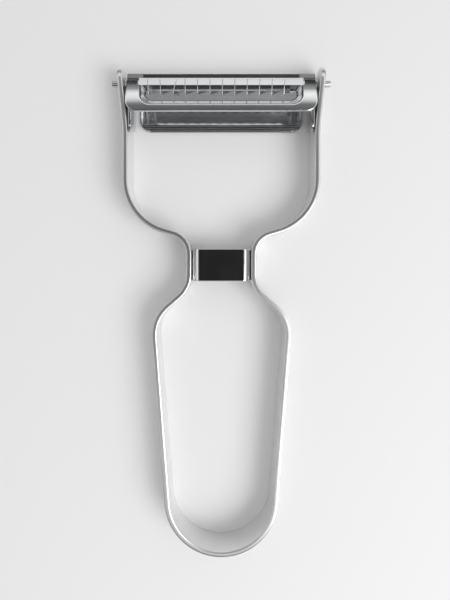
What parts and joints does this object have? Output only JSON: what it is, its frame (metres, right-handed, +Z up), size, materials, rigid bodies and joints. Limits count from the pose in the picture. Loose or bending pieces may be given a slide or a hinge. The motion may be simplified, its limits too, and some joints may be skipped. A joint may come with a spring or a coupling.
{
  "type": "vegetable peeler",
  "caption": "Y-shaped stainless steel vegetable peeler: a bent strip handle with a peeling blade and a toothed julienne blade nested on the same pivot pins.",
  "frame": {"origin": "under the middle of the peeler's length and width, on the surface it lies on", "axes": "+X to the right seen from above, +Y along the length from the handle loop to the blades, +Z up"},
  "size_m": [0.082, 0.18, 0.014],
  "materials": {
    "strip_steel": "satin brushed stainless steel with rounded bright edges",
    "polished_steel": "mirror polished stainless steel sheet",
    "blade_steel": "polished blade steel with ground edges",
    "pin_steel": "plain turned steel"
  },
  "bodies": {
    "frame": {"frame_strip": "strip_steel", "waist_band": "polished_steel", "pivot_pin_right": "pin_steel", "pivot_pin_left": "pin_steel", "spacer_washer_right": "pin_steel", "spacer_washer_left": "pin_steel"},
    "peeling_head": {"peeling_blade": "blade_steel"},
    "julienne_head": {"julienne_blade": "blade_steel"}
  },
  "joints": [
    {"name": "head_swing", "type": "hinge", "parent": "frame", "child": "peeling_head", "pos_m": [0, 0.084, 0.006], "axis": [1, 0, 0], "range_deg": [-30, 30]},
    {"name": "julienne_lift", "type": "hinge", "parent": "peeling_head", "child": "julienne_head", "pos_m": [0, 0.084, 0.006], "axis": [-1, 0, 0], "range_deg": [0, 60]}
  ]
}
